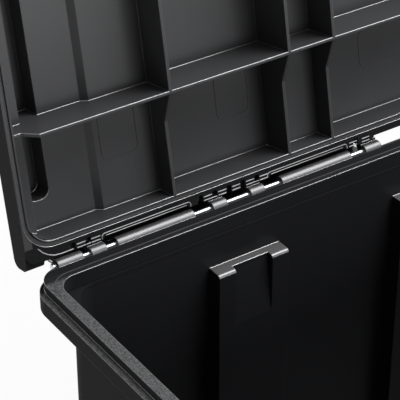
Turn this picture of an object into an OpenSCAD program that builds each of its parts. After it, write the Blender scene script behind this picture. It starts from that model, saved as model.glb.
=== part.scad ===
// Stackable tool box with a rod-hinged lid, drawn with the lid open.
// X runs along the hinge, +Y to the hinge side, +Z up. Origin: middle of the base, on the ground.

/* [Tub] */
// Width of the tub over its rim
rim_w = 562; // [540:2:600]
// Depth from the front of the rim to the hinge axis
rim_d = 378; // [350:2:420]
// Height of the rim's top face above the ground
rim_h = 272; // [240:2:320]
// Thickness of the tub's walls and floor
wall = 3; // [2.4:0.2:4]
// Outer corner radius of the rim
rim_r = 19; // [14:1:26]
// Width of the raised flange that the seal lands on
flange_w = 6.9; // [6:0.1:11]
// Width of the low land outside the raised flange
land_w = 4.6; // [2:0.1:5]
// Width of the land at the hinge side
rear_land = 0.5; // [0.3:0.1:1]
// Drop from the raised flange to the land
land_drop = 5; // [1:0.5:6]
// Height of the skirt that hangs from the rim
skirt_h = 10; // [8:1:30]
// Thickness of the skirt and of the rim plate
skirt_t = 2.5; // [2:0.1:3.5]
// Width of the rim along the hinge side
rear_rim_w = 12.2; // [10:0.1:14]
// Height of the narrow base that nests in a lid below
base_h = 11; // [6:1:20]
// Gap around the nesting base
base_gap = 1.5; // [0.5:0.5:4]
// Corner radius of the base
base_r = 22; // [10:1:40]
// Distance of the base from the front and rear walls
base_in = 20; // [12:1:30]
// Reach of the ribs on the outside of the front and rear walls
rib_out = 4; // [2:0.5:6]
// Thickness of the outside ribs
rib_out_t = 3; // [2:0.2:5]
// Pitch of the outside ribs
rib_pitch = 30; // [24:1:34]
// Inner corner radius of the tub's mouth
in_r = 12; // [9:1:14]
// Step of the side walls inwards, below the mouth
side_step = 7; // [4:0.2:9]
// Step of the front and rear walls inwards, below the mouth
face_step = 0.4; // [0.2:0.1:1]
// Depth of those steps below the rim
step_drop = 10.5; // [10:0.5:14]
// Inner corner radius below the steps
body_r = 17; // [14:1:22]

/* [Tray pillars] */
// Distance between the pillars that carry a tray
pillar_pitch = 140.5; // [110:0.5:160]
// Width of one pillar
pillar_w = 51; // [36:1:70]
// Reach of a pillar from its wall
pillar_reach = 11; // [8:0.5:16]
// Depth of the tray ledge below the rim
ledge_drop = 32; // [24:1:60]
// Width of the notch in the ledge
notch_w = 26.5; // [14:0.5:32]
// Depth of the notch in the ledge
notch_t = 5; // [2:0.5:6]
// Height of the notch below the ledge
notch_h = 40; // [30:1:60]
// Rounding of the ledge's front edge
ledge_r = 2.5; // [1.5:0.25:4]

/* [Hinge] */
// Height of the rim's top face above the hinge axis
axis_drop = 1.5; // [0.5:0.5:3]
// Distance from the hinge axis forward to the rim's rear edge
rear_set = 2; // [1:0.5:3.5]
// Radius of the hinge barrels
barrel_r = 4.1; // [3.6:0.1:4.4]
// Radius of the steel hinge rods
rod_r = 1.75; // [1.25:0.05:2.2]
// Running clearance around rods and pins
run_gap = 0.08; // [0.05:0.01:0.1]
// Gap between moving mouldings
part_gap = 0.4; // [0.3:0.1:0.8]
// Middle of the outer hinge groups, from the middle of the box
group_x = 136.5; // [120:0.5:150]
// Length of the long tub barrels
long_len = 53; // [40:1:60]
// Middle of a long barrel, from the middle of its group
long_x = 58.5; // [50:0.5:64]
// Length of the lid knuckles
knuckle_len = 10; // [6:0.5:12]
// Middle of the paired lid knuckles, from the middle of their group
pair_x = 13.75; // [9:0.25:18]
// Middle of the outermost lid knuckle, from the middle of its group
outer_x = 97.5; // [92:0.5:101]
// Half of the open gap in the middle of the hinge
gap_half = 28; // [20:1:34]
// Distance from the rim's end to the end barrel
end_set = 20; // [16:0.5:24]
// Length of the end barrel
end_len = 16.4; // [10:0.2:18]
// How far a rod sticks out of its end barrel
rod_out = 2; // [0.5:0.5:4]
// Height of the gussets that carry the barrels
gusset_h = 16; // [10:1:19]

/* [Lid] */
// Angle of the open lid from closed
open_deg = 101; // [90:1:110]
// Inset of the lid from the edge of the rim
lid_inset = 3.5; // [2:0.5:5]
// Corner radius of the lid
lid_r = 17; // [12:1:24]
// Distance from the hinge axis to the lid's rear face
lid_back = 4.6; // [4.5:0.1:5.4]
// Distance from the hinge axis to the inner lip
lip_back = 15.3; // [14.5:0.1:17]
// Thickness of the lid's side walls
lid_wall = 4.7; // [4:0.1:6]
// Thickness of the lid's top
skin = 2.8; // [2.2:0.1:3.6]
// Thickness of the outer and inner lips beside the seal
lip_t = 1.1; // [0.8:0.1:1.4]
// Depth of the seal channel
channel_h = 4; // [3:0.5:6]
// Depth of the seal's face below the lips
seal_in = 1.2; // [0.6:0.1:1.6]
// Depth of the raised side borders, inside
border_in = 31.3; // [28:0.5:38]
// Inner edge of the side borders, from the lid's end
border_w = 29; // [24:1:40]
// Distance of the borders' round ends from the hinge axis
border_end = 33; // [26:1:40]
// Roundness of the borders' corners, as a share of half their width
border_round = 0.8; // [0.5:0.05:0.9]
// Depth of the lid's side rims, inside
side_in = 13.3; // [12:0.1:16]
// Width of the ledge along the lid's side rims
side_ledge = 10.8; // [8:0.2:12]
// Depth of the panel beside the border
panel_in = 18; // [16:0.5:22]
// Depth of the panel past its step
step_in = 14.3; // [12:0.5:16]
// Width of the panel beside the border
panel_w = 29.5; // [20:0.5:36]
// Depth of the wide cells
wide_in = 22; // [18:0.5:26]
// Depth of the middle cell
mid_in = 20; // [18:0.5:24]
// Thickness of the dividers and ribs
rib_t = 2; // [1.6:0.1:3]
// Middle divider, from the middle of the lid
div_a = 60.6; // [50:0.2:76]
// Second divider, from the middle of the lid
div_b = 93.6; // [84:0.2:110]
// Third divider, from the middle of the lid
div_c = 177.2; // [160:0.2:200]
// Distance from the hinge axis to the rear long rib
rib_back = 81.8; // [70:0.2:100]
// Distance between the two long ribs
rib_gap = 208; // [160:2:220]
// How far the long ribs stand proud of the lid's rim
rib_proud = 9.4; // [6:0.2:12]
// Depth of the long slots in the lid's rear edge
slot_in = 2.3; // [1.5:0.1:3]
// Radius of the round ends of the long slots
slot_r = 3; // [2.4:0.1:3.6]
// Height of the long slots
slot_h = 12; // [8:1:14]
// Half of the open slot in the middle of the lid's rear edge
gap_end = 31; // [29:0.5:34]
// How far a long slot starts before its barrel
slot_lead = 6; // [4:0.5:7]
// Pitch of the small pockets over the knuckles
comb_pitch = 10.2; // [8:0.2:11]
// Width of the small pockets over the knuckles
comb_w = 3.6; // [3:0.2:5]
// Distance of the first small pocket past a long barrel
comb_lead = 8; // [6:0.5:10]
// Reach of the small pockets from the hinge axis
comb_in = 9.3; // [8.5:0.1:9.6]
// Height of the small pockets
comb_h = 4; // [3:0.5:6]
// Reach of the wall behind the hinge axis
shroud_back = 6.5; // [4:0.5:9]
// Thickness of the wall behind the hinge
shroud_t = 1.8; // [1.4:0.1:2]
// Half of the length over the two walls behind the hinge
shroud_x = 255; // [246:1:256]
// Height above the hinge axis at which the wall behind it starts
shroud_z = 8; // [7:0.5:12]
// Width of the side bands
band_w = 11.5; // [8:0.5:14]
// Height above the hinge axis at which the side bands start
band_z = 3; // [2.5:0.5:5]
// Corner radius of the side bands' rear ends
band_r = 5; // [3:0.5:6]
// Corner radius of the lid's rear edge
lid_rear_r = 6; // [3:0.5:8]
// Run of the slopes at the ends of the proud edges
rib_slope = 20; // [12:1:30]

/* [Front latches] */
// Distance of each latch from the middle
latch_x = 150; // [110:5:200]
// Width of a latch
latch_w = 52; // [36:2:70]
// Height of a latch above its pin
latch_l = 58; // [54:1:66]
// Thickness of the latch plate
latch_t = 4; // [3:0.5:6]
// Distance of the latch pin below the rim's land
latch_drop = 23.5; // [22:0.5:34]
// Radius of the latch pins
latch_pin_r = 2; // [1.5:0.1:2.5]
// Radius of the latch's pin barrel
latch_eye_r = 4.5; // [4:0.1:6]
// Thickness of the ears that hold a latch pin
ear_t = 5; // [4:0.5:8]
// Radius of the steel strikes on the lid
strike_r = 2; // [1.5:0.1:2.5]
// Height of the strikes above the lid's rim
strike_up = 18; // [14:1:20]
// Wall around a strike in its ears
strike_wall = 1.6; // [1.4:0.1:1.8]
// Reach of a latch's hook above its strike
hook_h = 5; // [4:0.5:6]

/* [Carry handle] */
// Length of the carry handle
carry_w = 190; // [150:5:240]
// Reach of the carry handle from its pins
carry_l = 52; // [40:1:60]
// Thickness of the carry handle
carry_t = 12; // [9:0.5:14]
// Distance from the hinge axis to the carry handle's pins
carry_back = 205; // [195:1:225]
// Radius of the carry handle's pins
carry_pin_r = 2.5; // [2:0.1:3]
// Thickness of the soft grip
grip_t = 2; // [1.5:0.1:3]
// Room around the folded handle
pocket_gap = 4; // [3:0.5:8]

/* [Side handles] */
// Length of a side handle
side_w = 120; // [100:2:150]
// Reach of a side handle below its pins
side_l = 44; // [36:1:60]
// Thickness of a side handle
side_t = 8; // [6:0.5:10]
// Width of the arms of a side handle
side_arm = 12; // [8:1:20]
// Distance of the pins below the skirt
side_drop = 23.5; // [12:0.5:30]
// Radius of the side handle's pins
side_pin_r = 2.5; // [2:0.1:3]

/* [Stacking latches] */
// Width of a stacking latch
stack_w = 60; // [40:2:80]
// Height of a stacking latch above its pin
stack_up = 34; // [24:1:44]
// Height of the stacking latch's pin above the ground
stack_z = 34; // [30:1:46]
// Thickness of a stacking latch
stack_t = 4; // [3:0.5:5]
// Radius of the stacking latch's pin
stack_pin_r = 2; // [1.5:0.1:2.5]
// Reach of the stacking latch's hook
hook = 3; // [2:0.5:4]
// Height of the hook above the ground
hook_z = 3.5; // [3:0.5:5]
// Thickness of the hook
hook_t = 2; // [1.5:0.5:3]
// Play around the hook in the notch of the lid below
hook_play = 1.3; // [0.8:0.1:1.5]
// Reach of a catch block past its notch
catch_in = 8; // [5:0.5:12]

/* [Hidden] */
$fn = 48;
e = 0.01;
hw = rim_w / 2;
front_y = -rim_d / 2;
axis_y = rim_d / 2;
axis_z = rim_h - axis_drop;
land_z = rim_h - land_drop;
skirt_z = land_z - skirt_h;
rear_y = axis_y - rear_set;
in_hw = hw - land_w - flange_w;
in_front = front_y + land_w + flange_w;
in_rear = rear_y - rear_rim_w;
step_z = rim_h - step_drop;
body_in = in_hw - side_step;
body_hw = body_in + wall;
out_front = in_front - wall;
out_rear = in_rear + wall;
out_r = in_r + wall;
bore_r = rod_r + run_gap;
ledge_z = rim_h - ledge_drop;
floor_z = base_h + wall;

// Places on the lid, measured from the hinge axis with the lid shut: y forward is negative, z is up
lid_hw = hw - lid_inset;
lid_y = front_y + lid_inset - axis_y;
lid_rim = axis_drop + part_gap;
cell_hw = lid_hw - lid_wall;
cell_y = lid_y + lid_wall;
cell_r = lid_r - 2;
border_x = lid_hw - border_w;
roof_in = cell_hw - side_ledge;
side_top = lid_rim + side_in + skin;
step_x = border_x - panel_w;
rib_z = lid_rim - rib_proud;
front_rib = rib_back + rib_gap;
top_z = lid_rim + wide_in + skin;
base_hw = border_x - skin - base_gap;

// Pin places on the tub
latch_y = front_y - part_gap - latch_eye_r;
latch_z = land_z - latch_drop;
side_x = in_hw + wall + 1.5 + side_t / 2;
side_z = skirt_z - side_drop;
stack_x = lid_hw + part_gap + stack_t / 2;

// Places on the lid, as above
strike_y = lid_y - strike_r - 2;
strike_z = lid_rim + strike_up;
carry_y = -carry_back;
carry_z = top_z - carry_t / 2 - 1;
carry_hw = carry_w / 2;
collar_t = 6;

// A plan outline with round front corners rf and round rear corners rr
module plan(half, y0, y1, rf, rr) {
    translate([-half, y0 + rf]) square([2 * half, y1 - y0 - rf - rr]);
    translate([-half + rf, y0]) square([2 * (half - rf), rf + e]);
    translate([-half + rr, y1 - rr - e]) square([2 * (half - rr), rr + e]);
    for (s = [-1, 1]) {
        translate([s * (half - rf), y0 + rf]) circle(rf);
        translate([s * (half - rr), y1 - rr]) circle(rr);
    }
}

module prism(z0, z1) {
    translate([0, 0, z0]) linear_extrude(z1 - z0) children();
}

module box(x0, x1, y0, y1, z0, z1) {
    translate([x0, y0, z0]) cube([x1 - x0, y1 - y0, z1 - z0]);
}

// Extrudes an outline drawn in Y and Z along X
module along_x(x0, x1) {
    translate([x0, 0, 0]) rotate([90, 0, 90]) linear_extrude(x1 - x0) children();
}

// Extrudes an outline drawn in X and Z along Y
module along_y(y0, y1) {
    translate([0, y1, 0]) rotate([90, 0, 0]) linear_extrude(y1 - y0) children();
}

module rod_x(x0, x1, y, z, r) {
    translate([x0, y, z]) rotate([0, 90, 0]) cylinder(h = x1 - x0, r = r);
}

module rod_y(y0, y1, x, z, r) {
    translate([x, y0, z]) rotate([-90, 0, 0]) cylinder(h = y1 - y0, r = r);
}

module both_sides() {
    children();
    mirror([1, 0, 0]) children();
}

// Carries what is drawn on the shut lid, from the hinge axis, to its open place
module on_lid() {
    translate([0, axis_y, axis_z]) rotate([-open_deg, 0, 0]) children();
}

// Stretches of the left half of the hinge, as [start, end] along X
tub_barrels = [[-hw + end_set, -hw + end_set + end_len],
    [-group_x - long_x - long_len / 2, -group_x - long_x + long_len / 2],
    [-group_x + long_x - long_len / 2, -group_x + long_x + long_len / 2]];
lid_knuckles = [[-group_x - outer_x - knuckle_len / 2, -group_x - outer_x + knuckle_len / 2],
    [-group_x - pair_x - knuckle_len / 2, -group_x - pair_x + knuckle_len / 2],
    [-group_x + pair_x - knuckle_len / 2, -group_x + pair_x + knuckle_len / 2],
    [-gap_half - knuckle_len - 2, -gap_half]];

module rim_plan(inset) {
    plan(hw - inset, front_y + inset, rear_y - inset, rim_r - inset, rim_r - inset);
}

module base_plan(inset) {
    plan(base_hw - inset, out_front + base_in + inset, out_rear - base_in - inset, base_r - inset,
        base_r - inset);
}

// The tub's plan below the mouth: inset = 0 is the inside, inset = -wall the outside
module body_plan(inset) {
    plan(body_in - inset, in_front + face_step + inset, in_rear - face_step - inset, body_r - inset,
        body_r - inset);
}

module tub_shell() {
    difference() {
        union() {
            prism(base_h, land_z) body_plan(-wall);
            prism(step_z - wall, land_z) plan(in_hw + wall, out_front, out_rear, out_r, out_r);
            prism(0, floor_z) base_plan(0);
            prism(land_z - skirt_t, land_z) rim_plan(0);
            prism(land_z - e, rim_h)
                plan(hw - land_w, front_y + land_w, rear_y - rear_land, rim_r - land_w, rim_r - land_w);
            difference() {
                prism(skirt_z, land_z) rim_plan(0);
                prism(skirt_z - 1, land_z - skirt_t) rim_plan(skirt_t);
            }
        }
        prism(step_z, rim_h + 1) plan(in_hw, in_front, in_rear, in_r, in_r);
        prism(floor_z, step_z + 1) body_plan(0);
        prism(wall, floor_z + 1) base_plan(wall);
    }
}

// One tray pillar, standing on the inside of a wall whose face is at y = 0
module pillar() {
    translate([0, -pillar_reach, 0]) difference() {
        union() {
            box(-pillar_w / 2, pillar_w / 2, 0, pillar_reach + wall / 2, floor_z - wall / 2,
                ledge_z - ledge_r);
            box(-pillar_w / 2, pillar_w / 2, ledge_r, pillar_reach + wall / 2, ledge_z - ledge_r - 1,
                ledge_z);
            rod_x(-pillar_w / 2, pillar_w / 2, ledge_r, ledge_z - ledge_r, ledge_r);
        }
        along_x(-notch_w / 2, notch_w / 2)
            polygon([[-1, ledge_z + 1], [notch_t, ledge_z + 1], [notch_t, ledge_z - ledge_r],
                [0, ledge_z - notch_h], [-1, ledge_z - notch_h]]);
    }
}

// The hollow behind a pillar, open to the outside
module pillar_hollow() {
    box(-pillar_w / 2 + wall, pillar_w / 2 - wall, wall - pillar_reach, wall + 1, floor_z + wall,
        ledge_z - notch_h - 2 * wall);
}

module at_pillars() {
    for (i = [-1:1]) {
        translate([i * pillar_pitch, in_rear, 0]) children();
        translate([i * pillar_pitch, in_front, 0]) mirror([0, 1, 0]) children();
    }
}

// Upright ribs on the outside: a middle group and a group near each end
module outside_ribs() {
    for (x = [0, 1, 2, 3, 7, 8]) both_sides()
        box(x * rib_pitch - rib_out_t / 2, x * rib_pitch + rib_out_t / 2, out_front - rib_out,
            out_rear + rib_out, base_h + wall, skirt_z + 1);
}

module tub_barrel_row() {
    for (b = tub_barrels) {
        rod_x(b[0], b[1], axis_y, axis_z, barrel_r);
        translate([0, axis_y, axis_z]) along_x(b[0], b[1])
            polygon([[-barrel_r - 1, axis_drop - e], [-barrel_r - 1, -land_drop],
                [-rear_set - 1, -gusset_h], [-rear_set, -gusset_h], [barrel_r, -barrel_r / 2],
                [barrel_r, 0], [0, 0]]);
    }
}

module latch_ears() {
    for (s = [-1, 1]) {
        x0 = latch_x + s * (latch_w / 2 + part_gap + ear_t / 2) - ear_t / 2;
        along_x(x0, x0 + ear_t) {
            translate([latch_y, latch_z]) circle(latch_eye_r);
            polygon([[latch_y, latch_z - latch_eye_r], [out_front + wall / 2, latch_z - 3 * latch_eye_r],
                [out_front + wall / 2, skirt_z + 1], [front_y + skirt_t / 2, skirt_z + 1],
                [latch_y, latch_z + latch_eye_r]]);
        }
    }
}

// A pair of ears on the tub's right side, for a pin along Y at x, z
module ears_y(span, x, z, r) {
    for (s = [-1, 1]) {
        y0 = s * (span / 2 + part_gap + ear_t / 2) - ear_t / 2;
        rod_y(y0, y0 + ear_t, x, z, r);
        box(body_hw - wall / 2, x, y0, y0 + ear_t, z - r, z + r);
    }
}

module tub() {
    color("#26272b") difference() {
        union() {
            tub_shell();
            difference() {
                outside_ribs();
                prism(0, rim_h) body_plan(-wall / 2);
            }
            at_pillars() pillar();
            both_sides() {
                tub_barrel_row();
                latch_ears();
                ears_y(side_w, side_x, side_z, side_t / 2 + 1);
                ears_y(stack_w, stack_x, stack_z, stack_t / 2 + 2);
            }
        }
        at_pillars() pillar_hollow();
        both_sides() {
            for (k = lid_knuckles)
                rod_x(k[0] - part_gap, k[1] + part_gap, axis_y, axis_z, barrel_r + part_gap);
            rod_x(-hw, -gap_half, axis_y, axis_z, bore_r);
            rod_x(latch_x - latch_w, latch_x + latch_w, latch_y, latch_z, latch_pin_r + run_gap);
            rod_y(-side_w, side_w, side_x, side_z, side_pin_r + run_gap);
            rod_y(-stack_w, stack_w, stack_x, stack_z, stack_pin_r + run_gap);
        }
    }
}

module hinge_rod_left() {
    color("#c9cacc")
        rod_x(-hw + end_set - rod_out, -gap_half - 1, axis_y, axis_z, rod_r);
}

module hinge_rod_right() {
    mirror([1, 0, 0]) hinge_rod_left();
}

// Half of the lid's section across X: grow = 0 is the inside, grow = skin the outside
module roof_half(grow, low) {
    run = (panel_in - step_in) / 2;
    polygon([[-1, low], [-1, lid_rim + mid_in + grow], [div_a + grow, lid_rim + mid_in + grow],
        [div_a + grow, lid_rim + step_in + grow], [div_b - grow, lid_rim + step_in + grow],
        [div_b - grow, lid_rim + wide_in + grow], [div_c + grow, lid_rim + wide_in + grow],
        [div_c + grow, lid_rim + step_in + grow], [step_x - run - grow / 2, lid_rim + step_in + grow],
        [step_x + run - grow / 2, lid_rim + panel_in + grow], [roof_in + grow, lid_rim + panel_in + grow],
        [roof_in + grow, lid_rim + side_in + grow], [lid_hw + 1, lid_rim + side_in + grow],
        [lid_hw + 1, low]]);
}

// The deep borders at the lid's ends
module borders(grow, low) {
    half = (roof_in - border_x) / 2;
    r = border_round * half + grow;
    prism(low, lid_rim + border_in + grow)
        for (s = [-1, 1]) translate([s * (border_x + half), 0])
            plan(half + grow, lid_y + border_end - lid_back - grow, grow - border_end, r, r);
}

module roof(grow, low) {
    along_y(lid_y - 1, shroud_back + 1) {
        roof_half(grow, low);
        mirror([1, 0]) roof_half(grow, low);
    }
    borders(grow, low);
}

module lid_plan() {
    plan(lid_hw, lid_y, -lid_back, lid_r, lid_rear_r);
}

module cell_plan(inset) {
    plan(cell_hw + inset, cell_y - inset, -lip_back + inset, cell_r + inset, cell_r + inset);
}

// A long slot with round ends in the lid's rear edge
module edge_slot(x0, x1) {
    y = -lid_back - slot_in + slot_r;
    prism(lid_rim - 1, lid_rim + slot_h) {
        translate([x0 + slot_r, y - slot_r]) square([x1 - x0 - 2 * slot_r, 2 * slot_r]);
        for (x = [x0 + slot_r, x1 - slot_r]) translate([x, y]) circle(slot_r);
    }
}

// Small pockets in the lid's rear edge over the knuckles, from x0 to x1
module comb(x0, x1) {
    for (x = [x0:comb_pitch:x1])
        box(x - comb_w / 2, x + comb_w / 2, -comb_in, -barrel_r - run_gap, lid_rim - 1, lid_rim + comb_h);
}

// Wall behind the hinge on both sides of the middle gap, closed over the barrels by the roof
module shroud() {
    intersection() {
        difference() {
            both_sides() box(gap_end, shroud_x, -lid_back - 1, shroud_back, shroud_z,
                lid_rim + border_in + skin);
            intersection() {
                box(-hw, hw, -lid_back, shroud_back - shroud_t, 0, lid_rim + border_in);
                roof(0, -1);
            }
        }
        roof(skin, 0);
    }
}

// A band along the lid's side rim, with a round end that reaches the hinge axis
module side_band() {
    along_x(lid_hw - band_w, lid_hw) {
        translate([-lip_back, band_z]) square([lip_back - band_r, side_top - band_z]);
        translate([-band_r - e, band_z + band_r]) square([band_r + e, side_top - band_z - 2 * band_r]);
        for (z = [band_z + band_r, side_top - band_r]) translate([-band_r, z]) circle(band_r);
    }
}

// Block on the lid's side rim, for the notch that a stacking latch hooks into
module catch_block() {
    half = stack_w / 2 + 2 * hook_play + catch_in;
    box(roof_in + skin / 2, lid_hw, -rim_d / 2 - half, -rim_d / 2 + half, side_top - skin / 2,
        lid_rim + border_in + skin);
}

module lid_shell() {
    difference() {
        union() {
            shroud();
            intersection() {
                prism(lid_rim, lid_rim + border_in + skin) lid_plan();
                roof(skin, lid_rim);
            }
            both_sides() {
                side_band();
                catch_block();
            }
        }
        intersection() {
            prism(lid_rim - 1, lid_rim + border_in) cell_plan(0);
            roof(0, lid_rim - 1);
        }
        difference() {
            prism(lid_rim - 1, lid_rim + channel_h) plan(lid_hw - lip_t, lid_y + lip_t,
                -lip_back + lid_wall - lip_t, lid_r - lip_t, cell_r + lid_wall - lip_t);
            prism(lid_rim - 2, lid_rim + channel_h + 1) cell_plan(lip_t);
        }
        both_sides() {
            for (b = [tub_barrels[1], tub_barrels[2]]) edge_slot(b[0] - slot_lead, b[1]);
            comb(tub_barrels[1][0] - slot_lead - 2 * comb_pitch, tub_barrels[1][0] - slot_lead - comb_w);
            comb(tub_barrels[1][1] + comb_lead, tub_barrels[2][0] - slot_lead - comb_w);
            comb(tub_barrels[2][1] + comb_lead, -gap_end - comb_w);
        }
        edge_slot(-gap_end, gap_end);
    }
}

// A wall across the lid at x, with its free edge proud between the two long ribs
module divider(x) {
    rim = lid_rim;
    along_x(x - rib_t / 2, x + rib_t / 2)
        polygon([[-lip_back + 0.5, rim + border_in], [-lip_back + 0.5, rim], [-rib_back + rib_slope, rim],
            [-rib_back, rib_z], [-front_rib, rib_z], [-front_rib - rib_slope, rim], [cell_y - 0.5, rim],
            [cell_y - 0.5, rim + border_in]]);
}

// A wall along the lid with its free edge proud, stepped back beside the side walls
module long_rib(back) {
    y = -back;
    end = in_hw - 1;
    low = end - 0.7 * rib_proud;
    along_y(y - rib_t / 2, y + rib_t / 2)
        polygon([[-cell_hw - 0.5, lid_rim + border_in + 1], [-cell_hw - 0.5, lid_rim],
            [-end, lid_rim], [-low, rib_z], [low, rib_z], [end, lid_rim],
            [cell_hw + 0.5, lid_rim], [cell_hw + 0.5, lid_rim + border_in + 1]]);
}

module lid_ribs() {
    intersection() {
        union() {
            for (x = [div_a, div_b, div_c]) both_sides() divider(x);
            for (back = [rib_back, front_rib]) long_rib(back);
        }
        roof(skin / 2, rib_z - 1);
    }
}

module lid_knuckle_row() {
    for (k = lid_knuckles) {
        rod_x(k[0], k[1], 0, 0, barrel_r);
        along_x(k[0], k[1])
            polygon([[0, 0], [barrel_r / 2, barrel_r], [-lid_back - 1, 2 * barrel_r],
                [-lid_back - 1, lid_rim], [0.3 - barrel_r, lid_rim]]);
    }
}

// Pocket in the lid's top for the folded carry handle
module carry_collar() {
    box(-carry_hw - part_gap - collar_t, carry_hw + part_gap + collar_t,
        carry_y - carry_t / 2 - pocket_gap - skin, carry_y + carry_l + pocket_gap + skin,
        carry_z - carry_t / 2 - 1 - skin, top_z);
}

module carry_pocket() {
    box(-carry_hw - part_gap, carry_hw + part_gap, carry_y - carry_t / 2 - 1,
        carry_y + carry_l + pocket_gap, carry_z - carry_t / 2 - 1, top_z + 20);
}

module strike_ears() {
    r = strike_r + strike_wall;
    for (s = [-1, 1]) {
        x0 = latch_x + s * (latch_w / 2 + part_gap + ear_t / 2) - ear_t / 2;
        along_x(x0, x0 + ear_t) {
            translate([strike_y, strike_z]) circle(r);
            polygon([[strike_y, strike_z - r], [lid_y + 1, strike_z - 2 * r], [lid_y + 1, strike_z + r],
                [strike_y, strike_z + r]]);
        }
    }
}

// Notch in the lid's side that a stacking latch of the box above hooks into
module stack_notch() {
    half = stack_w / 2 + 2 * hook_play;
    z = top_z + hook_z;
    box(lid_hw - hook, lid_hw + 1, -rim_d / 2 - half, -rim_d / 2 + half, z - 2 * hook_play,
        z + hook_t + hook_play);
}

module lid() {
    color("#2f3033") on_lid() difference() {
        union() {
            lid_shell();
            lid_ribs();
            carry_collar();
            both_sides() {
                lid_knuckle_row();
                strike_ears();
            }
        }
        carry_pocket();
        both_sides() {
            rod_x(-hw, -gap_half + 1, 0, 0, bore_r);
            rod_x(latch_x - latch_w, latch_x + latch_w, strike_y, strike_z, strike_r + run_gap);
            rod_x(carry_hw - 20, carry_hw + collar_t + 10, carry_y, carry_z, carry_pin_r + run_gap);
            stack_notch();
        }
    }
}

module lid_seal() {
    play = 0.1;
    color("#8c8d90") on_lid() difference() {
        prism(lid_rim + seal_in, lid_rim + channel_h - play) plan(lid_hw - lip_t - play, lid_y + lip_t + play,
            -lip_back + lid_wall - lip_t - play, lid_r - lip_t - play, cell_r + lid_wall - lip_t - play);
        prism(lid_rim - 1, lid_rim + channel_h + 1) cell_plan(lip_t + play);
    }
}

// A latch drawn shut, with its pin at the origin
module latch_shut() {
    root = (latch_pin_r + latch_eye_r) / 2;
    z = axis_z + strike_z + strike_r + part_gap - latch_z;
    lip = strike_y + axis_y - latch_y + strike_r / 2;
    half = latch_t / 2;
    difference() {
        union() {
            rod_x(-latch_w / 2, latch_w / 2, 0, 0, latch_eye_r);
            along_x(-latch_w / 2, latch_w / 2)
                polygon([[-half, root], [-half, latch_l - 2 * latch_t], [-half - latch_t, latch_l],
                    [-half - 1, latch_l], [half, z + hook_h], [lip, z + hook_h / 2], [lip, z], [half, z],
                    [half, root]]);
        }
        rod_x(-latch_w, latch_w, 0, 0, latch_pin_r + run_gap);
    }
}

// The latches hang open below their pins
module front_latch_right() {
    color("#1b1c1e") translate([latch_x, latch_y, latch_z]) rotate([180, 0, 0]) latch_shut();
}

module front_latch_left() {
    mirror([1, 0, 0]) front_latch_right();
}

module front_latch_pin_right() {
    span = latch_w / 2 + part_gap + ear_t;
    color("#c9cacc") rod_x(latch_x - span, latch_x + span, latch_y, latch_z, latch_pin_r);
}

module front_latch_pin_left() {
    mirror([1, 0, 0]) front_latch_pin_right();
}

module latch_strike_right() {
    span = latch_w / 2 + part_gap + ear_t;
    color("#c9cacc") on_lid() rod_x(latch_x - span, latch_x + span, strike_y, strike_z, strike_r);
}

module latch_strike_left() {
    mirror([1, 0, 0]) latch_strike_right();
}

// Carries what is drawn on the folded carry handle, from its pins, to where it hangs
module on_carry() {
    on_lid() translate([0, carry_y, carry_z]) rotate([open_deg - 90, 0, 0]) children();
}

module carry_handle() {
    arm = carry_t;
    bar_y = carry_l - carry_t / 2;
    color("#1b1c1e") on_carry() difference() {
        union() {
            for (s = [-1, 1]) {
                x0 = s * (carry_hw - arm / 2) - arm / 2;
                rod_x(x0, x0 + arm, 0, 0, carry_t / 2);
                box(x0, x0 + arm, 0, bar_y, -carry_t / 2, carry_t / 2);
                rod_x(x0, x0 + arm, bar_y, 0, carry_t / 2);
            }
            rod_x(-carry_hw + arm / 2, carry_hw - arm / 2, bar_y, 0, carry_t / 2 - grip_t);
        }
        rod_x(-carry_hw - 1, carry_hw + 1, 0, 0, carry_pin_r + run_gap);
    }
}

module carry_handle_grip() {
    end = carry_hw - carry_t - 2;
    bar_y = carry_l - carry_t / 2;
    color("#2a2b2d") on_carry() difference() {
        rod_x(-end, end, bar_y, 0, carry_t / 2);
        rod_x(-end - 1, end + 1, bar_y, 0, carry_t / 2 - grip_t + 0.05);
    }
}

module carry_handle_pin_right() {
    color("#c9cacc") on_lid()
        rod_x(carry_hw - carry_t, carry_hw + part_gap + collar_t, carry_y, carry_z, carry_pin_r);
}

module carry_handle_pin_left() {
    mirror([1, 0, 0]) carry_handle_pin_right();
}

module side_handle_right() {
    bar_z = side_z - side_l + side_t / 2 + 1;
    color("#1b1c1e") difference() {
        union() {
            for (s = [-1, 1]) {
                y0 = s * (side_w / 2 - side_arm / 2) - side_arm / 2;
                rod_y(y0, y0 + side_arm, side_x, side_z, side_t / 2);
                box(side_x - side_t / 2, side_x + side_t / 2, y0, y0 + side_arm, bar_z, side_z);
            }
            rod_y(-side_w / 2, side_w / 2, side_x, bar_z, side_t / 2 + 1);
        }
        rod_y(-side_w, side_w, side_x, side_z, side_pin_r + run_gap);
    }
}

module side_handle_left() {
    mirror([1, 0, 0]) side_handle_right();
}

module side_handle_pins_right() {
    color("#c9cacc") for (s = [-1, 1]) {
        y0 = s * (side_w / 2 - side_arm / 2);
        y1 = s * (side_w / 2 + part_gap + ear_t);
        rod_y(min(y0, y1), max(y0, y1), side_x, side_z, side_pin_r);
    }
}

module side_handle_pins_left() {
    mirror([1, 0, 0]) side_handle_pins_right();
}

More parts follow.
